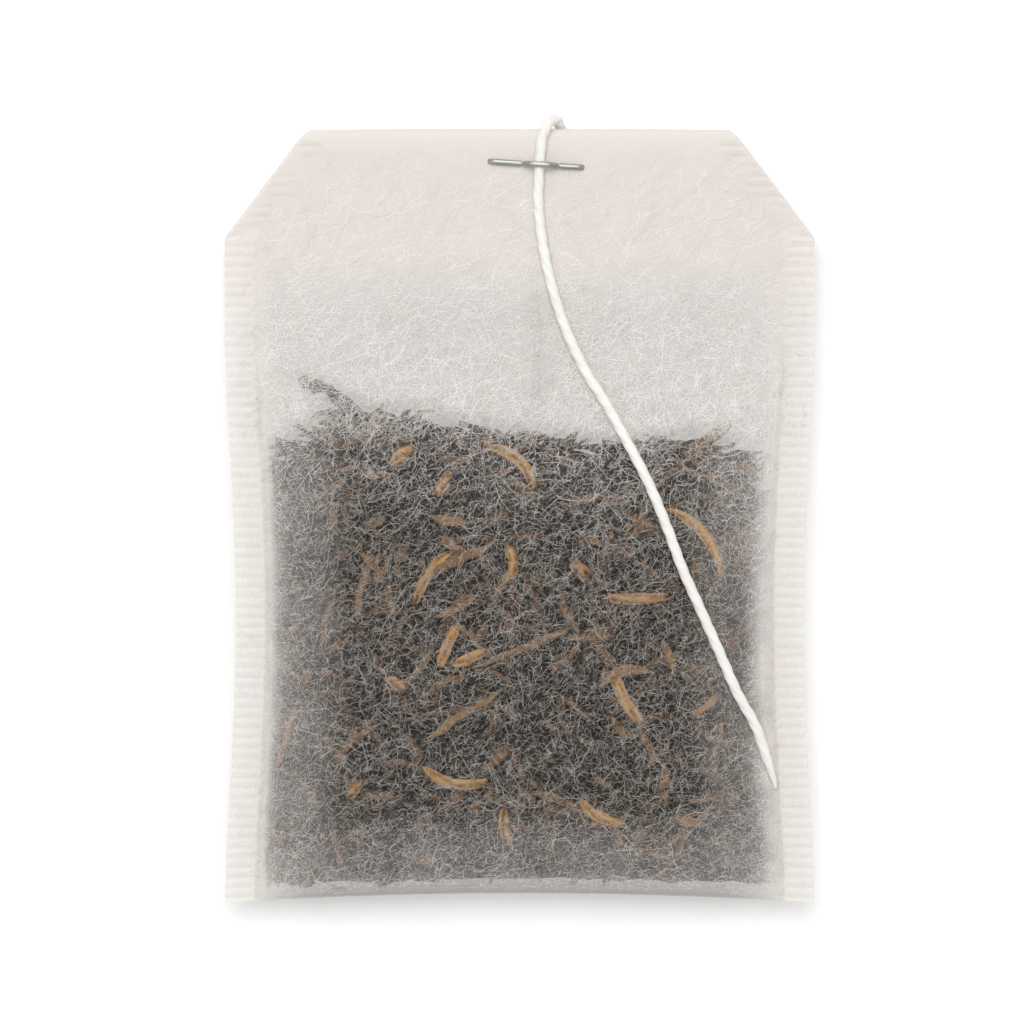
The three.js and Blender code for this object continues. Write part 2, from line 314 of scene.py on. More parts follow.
# %% Node helpers and the fibre group
def add_node(tree, kind, **settings):
    """Adds a node; a setting named after an input sets its value, and any other sets a property."""
    node = tree.nodes.new(kind)
    for key, value in settings.items():
        if key in node.inputs:
            node.inputs[key].default_value = value
        else:
            setattr(node, key, value)
    return node


def add_math(tree, operation, second=None, clamp=False):
    node = add_node(tree, "ShaderNodeMath", operation=operation, use_clamp=clamp)
    if second is not None:
        node.inputs[1].default_value = second
    return node


def add_range(tree, low, high, **settings):
    """Maps 0 to low and 1 to high."""
    node = add_node(tree, "ShaderNodeMapRange", **settings)
    node.inputs["To Min"].default_value = low
    node.inputs["To Max"].default_value = high
    return node


def add_layer(tree, name):
    """Reads what each point of a mesh keeps under this name."""
    return add_node(tree, "ShaderNodeAttribute", attribute_name=name)


def link(tree, *route):
    """Links outputs to inputs, given in pairs of (node, socket)."""
    for source, target in zip(route[::2], route[1::2]):
        tree.links.new(source[0].outputs[source[1]], target[0].inputs[target[1]])


def fibre_line_group():
    group = bpy.data.node_groups.new("fibre lines", "ShaderNodeTree")
    group.interface.new_socket("Vector", in_out="INPUT", socket_type="NodeSocketVector")
    group.interface.new_socket("Scale", in_out="INPUT", socket_type="NodeSocketFloat")
    group.interface.new_socket("Thickness", in_out="INPUT", socket_type="NodeSocketFloat")
    group.interface.new_socket("Mask", in_out="OUTPUT", socket_type="NodeSocketFloat")
    start = add_node(group, "NodeGroupInput")
    end = add_node(group, "NodeGroupOutput")
    cloud = add_node(group, "ShaderNodeTexNoise", Detail=0.0)
    offset = add_math(group, "SUBTRACT", 0.5)
    distance = add_math(group, "ABSOLUTE")
    line = add_range(group, 1, 0, interpolation_type="SMOOTHSTEP")
    link(group, (start, "Vector"), (cloud, "Vector"), (start, "Scale"), (cloud, "Scale"))
    link(group, (cloud, "Fac"), (offset, 0), (offset, 0), (distance, 0), (distance, 0), (line, "Value"))
    link(group, (start, "Thickness"), (line, "From Max"), (line, "Result"), (end, "Mask"))
    return group


fibre_lines = fibre_line_group()


def place_lines(tree, vector, scale, thickness, turn=0, stretch=1):
    """Puts the fibre group into a material, on a turned and stretched copy of a vector output."""
    mapping = add_node(tree, "ShaderNodeMapping", Rotation=(0, 0, turn), Scale=(1, stretch, 1))
    lines = add_node(tree, "ShaderNodeGroup", node_tree=fibre_lines)
    lines.inputs["Scale"].default_value = scale
    lines.inputs["Thickness"].default_value = thickness
    link(tree, vector, (mapping, "Vector"), (mapping, "Vector"), (lines, "Vector"))
    return lines


def new_material(name, roughness):
    material = bpy.data.materials.new(name)
    material.use_nodes = True
    tree = material.node_tree
    shader = tree.nodes["Principled BSDF"]
    shader.inputs["Roughness"].default_value = roughness
    return material, tree, shader


def colour_ramp(tree, *stops):
    """A ramp of colours, each given with its position."""
    node = add_node(tree, "ShaderNodeValToRGB")
    ramp_stops = node.color_ramp.elements
    while len(ramp_stops) < len(stops):
        ramp_stops.new(0.5)
    for stop, (position, colour) in zip(ramp_stops, stops):
        stop.position = position
        stop.color = (*colour, 1)
    return node


def add_bump(tree, shader, source, strength, distance):
    bump = add_node(tree, "ShaderNodeBump", Strength=strength, Distance=distance)
    link(tree, source, (bump, "Height"), (bump, "Normal"), (shader, "Normal"))


print("node group:", fibre_lines.name)

# %% [markdown]
# ## String
# The string is a limp cotton cord of three plies. It comes from behind the flap, goes over the top edge and
# under the staple, and lies loose down the front to a bare, thinned end. A curve with a round bevel would
# be quick, but it has no plies: here the section has three lobes that turn as they go along.

# %% Route of the string
string_diameter = 0.9 * MM
string_seat = 0.46 * string_diameter
string_step = 0.14 * MM
string_route = MM * np.array([
    (3.4, 26.6, 1.65), (3.5, 28.2, 1.65), (3.6, 29.8, 1.65), (3.7, 31.3, 1.65), (3.6, 32.6, 1.8),
    (3.2, 33.5, 2.75), (2.75, 33.5, 3.65), (2.3, 33, 4.45), (1.9, 31.8, 4.8), (1.75, 30.4, 4.8),
    (1.65, 28.9, 4.8), (1.6, 26.3, 4.8), (2, 22.8, 4.8), (2.8, 19.2, 4.82), (4, 15.6, 5.02),
    (5.7, 12, 5.5), (7.1, 9.8, 5.9), (9.1, 6.2, 6.5), (10.9, 2.7, 7), (12.4, -0.9, 7.25),
    (13.7, -4.4, 7.25), (15.3, -8, 7.05), (16.9, -11.6, 6.75), (18.4, -15, 6.42), (19.9, -17.7, 6),
    (20.9, -20.5, 5.6), (21.5, -22.3, 5.25), (21.7, -23.2, 5.1),
])
settle_after = 8
lying = string_route[settle_after:]
lying[:, 2] = front_wall(lying[:, 0], lying[:, 1]) + paper + string_seat
string_line = smooth_line(string_route, string_step)
string_length = np.linalg.norm(np.diff(string_line, axis=0), axis=1).sum()
print("string length in mm:", round(string_length / MM, 1))

# %% Cotton material
def cotton():
    material, tree, shader = new_material("cotton string", 0.85)
    lay = add_layer(tree, "lay")
    hairs = place_lines(tree, (lay, "Vector"), 2.4, 0.09, stretch=0.18)
    mottle = add_node(tree, "ShaderNodeTexNoise", Scale=0.8, Detail=3.0)
    tint = colour_ramp(tree, (0.3, (0.93, 0.9, 0.845)), (0.7, (0.98, 0.965, 0.93)))
    link(tree, (lay, "Vector"), (mottle, "Vector"), (mottle, "Fac"), (tint, "Fac"))
    link(tree, (tint, "Color"), (shader, "Base Color"))
    add_bump(tree, shader, (hairs, "Mask"), 0.5, 0.04 * MM)
    return material


cotton_material = cotton()

# %% Twisted string
ply_count = 3
lay_pitch = 4.6 * MM
tip_length = 3.4 * MM
tip_share = tip_length / string_length
blunt_length = 0.2 * MM
string_columns = 30


def string_girth(angle, share):
    turned = angle - 2 * np.pi * share * string_length / lay_pitch
    lobes = 0.87 + 0.13 * np.abs(np.cos(turned * ply_count / 2))
    taper = np.clip((1 - share) / tip_share, 0, 1) ** 0.6
    start = np.clip(share * string_length / blunt_length, 0, 1)
    radius = string_diameter / 2 * lobes * (0.12 + 0.88 * taper) * start
    radius = np.where(share >= 1, 0, radius)
    return radius, radius


bm, angle, row = tube(string_line, string_columns, string_girth)
along = row / (len(string_line) - 1) * string_length / MM
turned = angle - 2 * np.pi * along * MM / lay_pitch
lay_layer = bm.verts.layers.float_vector.new("lay")
for vert, around, run in zip(bm.verts, turned, along):
    vert[lay_layer] = (math.cos(around), run, math.sin(around))
close_up(bm)
string_piece = add_piece("twisted_string", to_mesh(bm, "string"), cotton_material, 180)
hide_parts("string")
print("string faces:", len(string_piece.data.polygons))

# %% [markdown]
# ## Staple
# The staple is one steel wire: a crown that arches over the string, two legs through the paper and two
# clinched ends behind. It is the same tube with a flattened section, on a line of straight runs whose
# corners are rounded, as a wire former leaves them.

# %% Staple wire
wire_width = 0.5 * MM
wire_height = 0.48 * MM
crown_left = -2.5 * MM
crown_right = 5.3 * MM
crown_middle = (crown_left + crown_right) / 2
crown_tilt = -0.065
staple_y = top_y - 3.05 * MM
clinch_length = 3.1 * MM
crown_low = seal_level + body_half + wire_height / 2
crown_high = crown_low + 0.8 * string_diameter
clinch_level = 0.62 * MM
saddle = (0.35 * MM, 0.95 * MM, 2.6 * MM, 3.2 * MM)


def bent_line(corners, reach, count):
    """Straight runs between corners, with a round bend of the given reach at each."""
    points = [corners[0]]
    for before, corner, after in zip(corners, corners[1:], corners[2:]):
        start = corner + unit(before - corner) * min(reach, np.linalg.norm(before - corner) / 2)
        end = corner + unit(after - corner) * min(reach, np.linalg.norm(after - corner) / 2)
        for t in np.linspace(0, 1, count):
            points.append((1 - t) ** 2 * start + 2 * t * (1 - t) * corner + t * t * end)
    return np.array([*points, corners[-1]])


bend_points = 9
bend_reach = 0.5 * MM
saddle_bends = (2, 5)
nick_depth = 0.3
wire_columns = 16


def wire_girth(angle, share):
    """A rounded square section, with a nick where the wire bends up to the saddle and down from it."""
    blunt = np.where((share <= 0) | (share >= 1), 0, 1)
    row = np.rint(share * (len(wire_line) - 1))
    for bend_number in saddle_bends:
        from_bend = np.abs(row - 2 - bend_points * bend_number - bend_points // 2)
        blunt = blunt * (1 - nick_depth * (from_bend < 2))
    square = 1 / (np.abs(np.cos(angle)) ** 3 + np.abs(np.sin(angle)) ** 3) ** (1 / 3)
    return blunt * wire_height / 2 * square, blunt * wire_width / 2 * square


wire_route = [
    (crown_left + clinch_length, clinch_level), (crown_left, clinch_level), (crown_left, crown_low),
    (saddle[0], crown_low), (saddle[1], crown_high), (saddle[2], crown_high), (saddle[3], crown_low),
    (crown_right, crown_low), (crown_right, clinch_level), (crown_right - clinch_length, clinch_level),
]
wire_corners = np.array([(x, staple_y + (x - crown_middle) * crown_tilt, z) for x, z in wire_route])
wire_line = bent_line(wire_corners, bend_reach, bend_points)
inner_start = wire_line[0] + 0.02 * (wire_line[1] - wire_line[0])
inner_end = wire_line[-1] + 0.02 * (wire_line[-2] - wire_line[-1])
wire_line = np.vstack([wire_line[:1], inner_start, wire_line[1:-1], inner_end, wire_line[-1:]])


def steel():
    material, tree, shader = new_material("staple steel", 0.32)
    shader.inputs["Metallic"].default_value = 1
    place = add_node(tree, "ShaderNodeTexCoord")
    streaks = add_node(tree, "ShaderNodeMapping", Scale=(300, 6000, 6000))
    drawn = add_node(tree, "ShaderNodeTexNoise", Scale=1.0, Detail=3.0)
    tint = colour_ramp(tree, (0.3, (0.3, 0.3, 0.275)), (0.7, (0.58, 0.58, 0.54)))
    gloss = add_range(tree, 0.42, 0.6)
    link(tree, (place, "Object"), (streaks, "Vector"), (streaks, "Vector"), (drawn, "Vector"))
    link(tree, (drawn, "Fac"), (tint, "Fac"), (tint, "Color"), (shader, "Base Color"))
    link(tree, (drawn, "Fac"), (gloss, "Value"), (gloss, "Result"), (shader, "Roughness"))
    add_bump(tree, shader, (drawn, "Fac"), 0.15, 0.02 * MM)
    return material


bm, angle, row = tube(wire_line, wire_columns, wire_girth)
close_up(bm)
staple_piece = add_piece("wire_staple", to_mesh(bm, "staple"), steel(), 50)
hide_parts("staple")
print("staple faces:", len(staple_piece.data.polygons))

# %% [markdown]
# ## Filter paper
# The paper is a strip of 50 by 156 mm, folded across its middle and closed along the sides. One grid
# becomes the whole sheet with its thickness: rows climb the outside from the bottom fold to the mouth and
# come back down the inside, columns go round the bag. Above the shoulders the columns also run round the
# corners that are turned in, and everything past the top edge is rolled over to hang behind. A flat sheet
# folded by a cloth simulation would crumple at random; the folds here are known, so they are worked out.

# %% Rings round the bag
bend = (paper + ear_under) / 2
slant_squared = corner_width**2 + corner_height**2
corner_reach = mouth_y - shoulder_y
ear_tip_x = half_width - 2 * corner_reach * corner_width * corner_height / slant_squared
ear_tip_y = mouth_y - 2 * corner_reach * corner_width**2 / slant_squared
even_shares = np.linspace(-1, 1, 57)
wall_shares = np.sin(even_shares * np.pi / 2) * 0.35 + even_shares * 0.65
seal_shares = np.array([0.14, 0.4, 0.7, 1])
rim_count = 8


def places_at(x, y, z):
    return np.stack(np.broadcast_arrays(x, y, z), axis=-1)


def rim(y, side):
    """Points round one side edge, front to back: a pressed rim, or a crease and the corner behind it."""
    edge = outline(y)
    crease = edge - bend
    inner = np.interp(y, [shoulder_y, ear_tip_y, mouth_y], [half_width, ear_tip_x, float(outline(mouth_y))])
    inner = np.minimum(inner, crease)
    arc = np.pi / 4 * np.arange(1, 4)
    turned_x = np.concatenate([crease + bend * np.sin(arc), crease, inner, inner, crease, crease], axis=1)
    levels = np.array([ear_under, ear_under, ear_top, ear_top, paper])
    turned_z = seal_level + np.concatenate([paper - bend + bend * np.cos(arc), -levels])
    pressed = (y <= shoulder_y) | (y >= mouth_y)
    x = np.where(pressed, edge, turned_x)
    z = np.where(pressed, seal_level - paper + crimp(edge, y), turned_z)
    return places_at(side * x, y, z)


def outer_rings(y):
    turned = (y > shoulder_y) & (y < mouth_y)
    edge = outline(y) - np.where(turned, bend, 0)
    seal_x = pocket(y) + seal_shares * (edge - pocket(y))
    front_x = np.concatenate([-seal_x[:, ::-1], wall_shares * pocket(y), seal_x], axis=1)
    back_x = np.concatenate([seal_x[:, -2::-1], -wall_shares * pocket(y), -seal_x[:, :-1]], axis=1)
    front = places_at(front_x, y, front_wall(front_x, y) + paper)
    back = places_at(back_x, y, back_wall(back_x, y) - paper)
    return np.concatenate([front, rim(y, 1), back, rim(y, -1)[:, ::-1]], axis=1)


def inner_rings(y):
    closed = np.repeat(pocket(y), len(seal_shares), axis=1)
    front_x = np.concatenate([-closed, wall_shares * pocket(y), closed], axis=1)
    back_x = np.concatenate([closed[:, 1:], -wall_shares * pocket(y), -closed[:, 1:]], axis=1)
    front = places_at(front_x, y, front_wall(front_x, y, paper))
    back = places_at(back_x, y, back_wall(back_x, y, paper))
    ends = np.repeat(pocket(y), rim_count, axis=1)
    right_seam = places_at(ends, y, seal_level)
    left_seam = places_at(-ends, y, seal_level)
    return np.concatenate([front, right_seam, back, left_seam], axis=1)


def fold_over(places):
    """Lifts the bottom fold and rolls what lies past the top edge down behind the bag."""
    x, y, z = np.moveaxis(places, -1, 0)
    y = lift_bottom(x, y)
    past = np.clip(y - fold_y, 0, None)
    axis_z = seal_level - turn_radius
    angle = np.clip(past / turn_radius, 0, np.pi)
    hang = np.clip(past - turn_length, 0, None)
    rolled_y = np.minimum(y, fold_y) + (z - axis_z) * np.sin(angle) - hang
    return places_at(x, rolled_y, axis_z + (z - axis_z) * np.cos(angle))


row_step = crimp_pitch / 4
first_rows = bottom_y + np.array([0, 0.02, 0.06, 0.12]) * MM
body_rows = np.arange(bottom_y + row_step, fold_y, row_step)
turn_rows = np.linspace(fold_y, fold_y + turn_length, 17)
flap_rows = np.linspace(fold_y + turn_length, mouth_y, 30)[1:]
outer_y = np.concatenate([first_rows, body_rows, turn_rows, flap_rows])[:, None]
inner_y = np.concatenate([outer_y[:0:-3], [[bottom_y + paper]]])
outer = outer_rings(outer_y)
inner = inner_rings(inner_y)
level = np.array([1, 1, 0])
pressed_flat = np.array([0, 0, seal_level])
first_ring = outer[:1] * level + pressed_flat
last_ring = inner[-1:] * level + pressed_flat
flat_rings = np.concatenate([first_ring, outer, inner, last_ring])
flat_rings = np.concatenate([flat_rings, flat_rings[:, :1]], axis=1)
print("rings and points in each:", flat_rings.shape[:2])

# %% [markdown]
# Each point of the paper keeps its place on the flat sheet in millimetres, which the fibre pattern reads,
# its veil, which says how much it hides, and its painted shade: a brownish darkening along the bottom fold
# and in the grooves of the seals. Paper that touches dark leaf seems clear; where it lifts off, the light
# spreads between paper and leaf and the paper looks milky.

# %% Sheet with its veil
veil_on_tea = 0.005
veil_lifted = 0.24
veil_side = 0.6
veil_seal = 0.5
veil_flap = 0.66
# At the top fold the paper hides more as it turns away; its lighter tint there is painted highlight.
veil_roll = 0.74
veil_hem = 0.56


def two_ramps(value, start, near, far, share):
    """A quick rise from start to near, and a slow one from near to far for what is left."""
    return share * ramp(value, start, near) + (1 - share) * ramp(value, near, far)


def contact(x, y):
    """How closely the paper lies on the tea: fully in the middle, less towards the filling's edges."""
    above = two_ramps(tea_edge(x) - y, -1.6 * MM, 1 * MM, 12 * MM, 0.95)
    side_room = pocket(y) - np.abs(x) - 0.3 * MM - 0.6 * MM * ramp(x, 0, half_width)
    beside = two_ramps(side_room, 0, 1.8 * MM + x / half_width * MM, 8 * MM, 0.66 + 0.14 * x / half_width)
    below = two_ramps(y - bottom_y, 0, 2.6 * MM, 9 * MM, 0.72)
    stray_x = (x + 15.9 * MM) / (2.8 * MM)
    stray_y = (y - 10.3 * MM) / (1.1 * MM) + stray_x
    return np.maximum(above * beside * below, 0.92 * np.exp(-(stray_x**2) - stray_y**2))


def hem_at(x, y):
    """The strip along the bottom fold that hangs below the tea, without the pressed seals."""
    return (1 - ramp(y - bottom_y, 0.4 * MM, 1 * MM)) * ramp(pocket(y) - np.abs(x), 0, 6 * MM)


def veil_at(x, y):
    seal = ramp(np.abs(x) - pocket(y), -0.9 * MM, 0.3 * MM)
    side = ramp(np.abs(x) - pocket(y), -2.2 * MM, -0.2 * MM)
    flap = ramp(y, flap_end_y - 5 * MM, flap_end_y + 2 * MM)
    open_veil = veil_lifted + (veil_side - veil_lifted) * side
    veil = open_veil + (veil_on_tea - open_veil) * contact(x, y)
    patchy = 1 + 0.4 * bumps(x, y, 3.2 * MM, 11) + 0.25 * bumps(x, y, 1.1 * MM, 12)
    veil = veil * patchy * (1 - seal) + veil_seal * seal
    veil = veil + (veil_flap * (0.85 + 0.15 * patchy) - veil) * flap
    # The top fold: more veil, and a lighter tint that is painted highlight where light catches the rolled
    # edge.
    roll = ramp(y, fold_y - 2 * MM, fold_y) * ramp(fold_y + turn_length - y, -2 * MM, 0)
    veil = veil + (veil_roll - veil) * roll
    return veil + (veil_hem - veil) * hem_at(x, y)


def painted_shade_at(x, y):
    """Painted shade, as a brownish darkening: along the hem it stands in for the shade under the bottom
    fold, and a trace of it darkens the grooves of the pressed seals.
    """
    groove = crimp(x, y) / crimp_depth
    return 0.45 * hem_at(x, y) - 0.13 * np.minimum(groove, 0)


bm, column, row = grid_of(flat_rings.shape[1] - 1, flat_rings.shape[0] - 1)
folded = fold_over(flat_rings)
move_to(bm, folded[row, column])
front_count = len(wall_shares) + 2 * len(seal_shares) + rim_count // 2
on_front = (column < front_count) | (column > flat_rings.shape[1] - rim_count // 2)
flat = flat_rings[row, column]
veil = veil_at(flat[:, 0], flat[:, 1])
# painted shade for each point: darker along the hem and in the grooves of the seals
painted_shade = painted_shade_at(flat[:, 0], flat[:, 1])
sheet_layer = bm.verts.layers.float_vector.new("sheet")
veil_layer = bm.verts.layers.float.new("veil")
painted_shade_layer = bm.verts.layers.float.new("painted_shade")
# the last value of each point is its amount of painted shade
for vert, place, front_side, amount, brown in zip(bm.verts, flat / MM, on_front, veil, painted_shade):
    vert[sheet_layer] = (place[0], place[1] if front_side else -place[1] - 100, 0)
    vert[veil_layer] = amount
    vert[painted_shade_layer] = brown
close_up(bm)
print("open edges of the paper:", sum(not edge.is_manifold for edge in bm.edges))

# %% Filter paper material
def filter_paper():
    material, tree, shader = new_material("filter paper", 0.9)
    sheet = add_layer(tree, "sheet")
    veil = add_layer(tree, "veil")
    # painted shade: darkens the paper along the hem and in the grooves of the seals
    painted_shade = add_layer(tree, "painted_shade")
    lines = place_lines(tree, (sheet, "Vector"), 1.9, 0.05, turn=0.5, stretch=1.2)
    faint = (0.04, 0.04, 0.04)
    line_strength = colour_ramp(tree, (0, faint), (0.2, (0.2, 0.2, 0.2)), (0.4, faint))
    cover = add_math(tree, "MULTIPLY_ADD", clamp=True)
    link(tree, (veil, "Fac"), (line_strength, "Fac"), (line_strength, "Color"), (cover, 0))
    link(tree, (lines, "Mask"), (cover, 1), (veil, "Fac"), (cover, 2), (cover, 0), (shader, "Alpha"))
    thin = (0.95, 0.905, 0.86)
    pressed = (0.96, 0.92, 0.88)
    double = (0.955, 0.895, 0.83)
    # The lightest stop, picked towards at the top fold, is partly painted highlight of the rolled edge.
    rolled_with_highlight = (0.97, 0.93, 0.885)
    tint = colour_ramp(tree, (0.02, thin), (0.45, pressed), (0.66, double), (0.9, rolled_with_highlight))
    painted_shade_mix = add_node(tree, "ShaderNodeMix", data_type="RGBA", blend_type="MULTIPLY")
    colour_a, colour_b, colour_out = 6, 7, 2
    # the brownish grey that the painted shade multiplies the paper towards
    painted_shade_mix.inputs[colour_b].default_value = (0.42, 0.365, 0.33, 1)
    link(tree, (veil, "Fac"), (tint, "Fac"), (tint, "Color"), (painted_shade_mix, colour_a))
    link(tree, (painted_shade, "Fac"), (painted_shade_mix, 0), (painted_shade_mix, colour_out), (shader, "Base Color"))
    return material


paper_piece = add_piece("folded_filter_paper", to_mesh(bm, "paper"), filter_paper(), 40)
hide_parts("filter_bag")
print("paper triangles:", 2 * len(paper_piece.data.polygons))

# %% [markdown]
# ## Loose strands
# Fibres of the paper and broken leaves are thousands of small rods. One rod with few faces is made first,
# pointed at both ends; an Array modifier copies it, and then each copy is bent along its own line. That is
# far quicker than thousands of separate operators.

# %% Strand helpers
def many_rods(count, sides, rings):
    """A mesh of equal rods; gives each template vertex's ring and angle, too."""
    bm, column, row = grid_of(sides, rings)
    angle = 2 * np.pi * (column + 0.25) / sides
    round_part = (row > 0) & (row < rings)
    move_to(bm, places_at(round_part * np.cos(angle), round_part * np.sin(angle), row))
    bmesh.ops.remove_doubles(bm, verts=bm.verts[:], dist=1e-4)
    bmesh.ops.recalc_face_normals(bm, faces=bm.faces[:])
    template = np.array([vert.co for vert in bm.verts])
    holder = bpy.data.objects.new("rod", to_mesh(bm, "rod"))
    scene.collection.objects.link(holder)
    array = holder.modifiers.new("copies", "ARRAY")
    array.count = count
    array.use_relative_offset = False
    mesh = bpy.data.meshes.new_from_object(holder.evaluated_get(bpy.context.evaluated_depsgraph_get()))
    bpy.data.objects.remove(holder)
    return mesh, template


def lay_rods(lines, half_width, half_height, sides, roll=0.0):
    """Bends one rod along each line; half sizes are given for each line and ring."""
    count, stations = lines.shape[:2]
    mesh, template = many_rods(count, sides, stations - 1)
    ring = np.rint(template[:, 2]).astype(int)
    ahead = unit(np.gradient(lines, axis=1))
    side = unit(np.cross((0, 0, 1), ahead))
    up = np.cross(ahead, side)
    turn = np.broadcast_to(roll, (count, stations))[:, :, None]
    side, up = side * np.cos(turn) + up * np.sin(turn), up * np.cos(turn) - side * np.sin(turn)
    across = template[:, 0] * half_width[:, ring]
    raised = template[:, 1] * half_height[:, ring]
    places = lines[:, ring] + across[:, :, None] * side[:, ring] + raised[:, :, None] * up[:, ring]
    mesh.vertices.foreach_set("co", places.ravel())
    mesh.update()
    return mesh, len(template)


def wander(x, y, heading, length, turning, stations, jitter):
    """Flat lines of a given length about each place, whose heading turns and jitters as they go."""
    share = np.linspace(-0.5, 0.5, stations)
    heading = heading[:, None] + turning[:, None] * share
    heading = heading + chance.normal(0, jitter, (len(x), stations))
    step = length[:, None] / (stations - 1)
    run_x = np.cumsum(np.cos(heading) * step, axis=1)
    run_y = np.cumsum(np.sin(heading) * step, axis=1)
    middle_x = run_x.mean(axis=1, keepdims=True)
    middle_y = run_y.mean(axis=1, keepdims=True)
    return x[:, None] + run_x - middle_x, y[:, None] + run_y - middle_y


# %% [markdown]
# ## Fibres
# Seen close, the paper is a felt of long plant fibres that catch the light over the dark tea. They are real
# rods here, as thin as hairs, because a painted net would vanish at a slant.

# %% Fibres on the front and back
def fibre_material():
    material, tree, shader = new_material("paper fibre", 0.7)
    tone = add_layer(tree, "tone")
    place = add_node(tree, "ShaderNodeTexCoord")
    mottle = add_node(tree, "ShaderNodeTexNoise", Scale=900.0, Detail=2.0)
    shade = add_math(tree, "MULTIPLY_ADD", 0.3, clamp=True)
    tint = colour_ramp(tree, (0.0, (0.31, 0.268, 0.228)), (1.0, (0.985, 0.955, 0.92)))
    link(tree, (place, "Object"), (mottle, "Vector"), (mottle, "Fac"), (shade, 0))
    link(tree, (tone, "Fac"), (shade, 2), (shade, 0), (tint, "Fac"))
    link(tree, (tint, "Color"), (shader, "Base Color"))
    return material


fibre_finish = fibre_material()
fibre_sides = 3
flatness = 0.45
grain_heading = 0.6
edge_margin = 0.15 * MM
end_margin = 0.25 * MM
bare_above = 6 * MM
dropped_on_seals = 0.75


def set_tone(mesh, tones):
    layer = mesh.attributes.new("tone", "FLOAT", "POINT")
    layer.data.foreach_set("value", np.asarray(tones, dtype=np.float32))


def fibres(name, count, wall, low, top, length, stations, thinnest, thickest, turn, jitter):
    """Scatters fibres over a part of one wall, fewer towards low and top; lengths and girths are in mm."""
    tries = int(count * 2.6)
    x = chance.uniform(-half_width, half_width, tries)
    y = chance.uniform(low, top, tries)
    along_paper = chance.normal(grain_heading, 0.35, tries)
    combed = 0.3 + 0.45 * ramp(y, tea_top_y, flap_end_y + 3 * MM)
    heading = np.where(chance.random(tries) < combed, along_paper, chance.uniform(0, np.pi, tries))
    lengths = length * MM * np.clip(chance.lognormal(0, 0.45, tries), 0.4, 2.8)
    turning = chance.normal(0, turn, tries)
    line_x, line_y = wander(x, y, heading, lengths, turning, stations, jitter)
    within_edges = np.abs(line_x) < outline(line_y) - edge_margin
    inside = within_edges & (line_y > bottom_y + end_margin) & (line_y < top)
    pressed_in = (np.abs(x) > pocket(y)) & (chance.random(tries) < dropped_on_seals)
    crowded = ramp(y, low - 1 * MM, low + 1.5 * MM) * ramp(y, top, top - bare_above)
    spared = chance.random(tries) < crowded
    kept = np.flatnonzero(inside.all(axis=1) & ~pressed_in & spared)[:count]
    line_x, line_y = line_x[kept], line_y[kept]
    lines = places_at(line_x, lift_bottom(line_x, line_y), wall(line_x, line_y))
    below_edge = ramp(tea_edge(x[kept]) - y[kept], 0, 12 * MM)
    radius = chance.uniform(thinnest * MM, thickest * MM, len(kept)) / 2 * (1.35 - 0.35 * below_edge)
    girth = np.repeat(radius[:, None], stations, axis=1)
    mesh, size = lay_rods(lines, girth, flatness * girth, fibre_sides)
    over_tea = contact(x[kept], y[kept]) * (0.62 + 0.38 * below_edge)
    bright = 0.56 - 0.53 * over_tea + chance.normal(0, 0.12, len(kept))
    set_tone(mesh, np.repeat(bright, size))
    piece = add_piece(name, mesh, fibre_finish, 30)
    print(name, len(kept), "fibres,", sum(len(face.vertices) - 2 for face in mesh.polygons), "triangles")
    return piece


def front_face(x, y):
    return front_wall(x, y) + paper


def back_face(x, y):
    return back_wall(x, y) - paper


fibre_top = fold_y
upper_low = tea_top_y - 3 * MM
upper_top = flap_end_y + 4 * MM
felt_top = tea_top_y + 4.5 * MM
fibre_pieces = [
    fibres("flap_fibres", 5000, front_face, upper_low, fibre_top, 2.4, 5, 0.016, 0.032, 1.2, 0.25),
    fibres("upper_felt", 6500, front_face, upper_low, upper_top, 1, 4, 0.016, 0.031, 2.8, 0.4),
    fibres("front_fibres", 2200, front_face, bottom_y, felt_top, 2.4, 6, 0.018, 0.036, 1.9, 0.4),
    fibres("front_felt_1", 13500, front_face, bottom_y, felt_top, 0.9, 4, 0.016, 0.031, 3, 0.5),
    fibres("front_felt_2", 13500, front_face, bottom_y, felt_top, 0.7, 4, 0.016, 0.031, 3, 0.5),
    fibres("back_fibres", 2000, back_face, bottom_y, flap_end_y, 2.6, 6, 0.02, 0.042, 1.7, 0.3),
    fibres("back_felt", 3500, back_face, bottom_y, flap_end_y, 1, 4, 0.018, 0.034, 2.6, 0.4),
]

# %% [markdown]
# ## Tea
# The filling is loose black tea: a dark heap with many thin rolled leaves on it, some brown, and a few
# golden tips that show through the paper. The heap is one closed grid; the leaves are flat rods with few
# faces, laid close under the paper on both sides.

# %% Leaf material
def leaf_material(name, *stops):
    material, tree, shader = new_material(name, 0.62)
    shader.inputs["Specular IOR Level"].default_value = 0.15
    tone = add_layer(tree, "tone")
    place = add_node(tree, "ShaderNodeTexCoord")
    grain = add_node(tree, "ShaderNodeTexNoise", Scale=1400.0, Detail=4.0, Roughness=0.65)
    shade = add_math(tree, "MULTIPLY_ADD", 0.5)
    lowered = add_math(tree, "SUBTRACT", 0.25, clamp=True)
    tint = colour_ramp(tree, *stops)
    link(tree, (place, "Object"), (grain, "Vector"), (grain, "Fac"), (shade, 0))
    link(tree, (tone, "Fac"), (shade, 2), (shade, 0), (lowered, 0))
    link(tree, (lowered, 0), (tint, "Fac"), (tint, "Color"), (shader, "Base Color"))
    add_bump(tree, shader, (grain, "Fac"), 0.5, 0.06 * MM)
    return material


black_leaf = leaf_material(
    "black tea leaf",
    (0.0, (0.005, 0.0042, 0.0037)),
    (0.42, (0.024, 0.017, 0.012)),
    (0.7, (0.13, 0.073, 0.037)),
    (1.0, (0.32, 0.18, 0.08)),
)
golden_leaf = leaf_material(
    "golden leaf tip",
    (0.0, (0.08, 0.04, 0.014)),
    (0.5, (0.40, 0.21, 0.065)),
    (1.0, (0.62, 0.39, 0.15)),
)

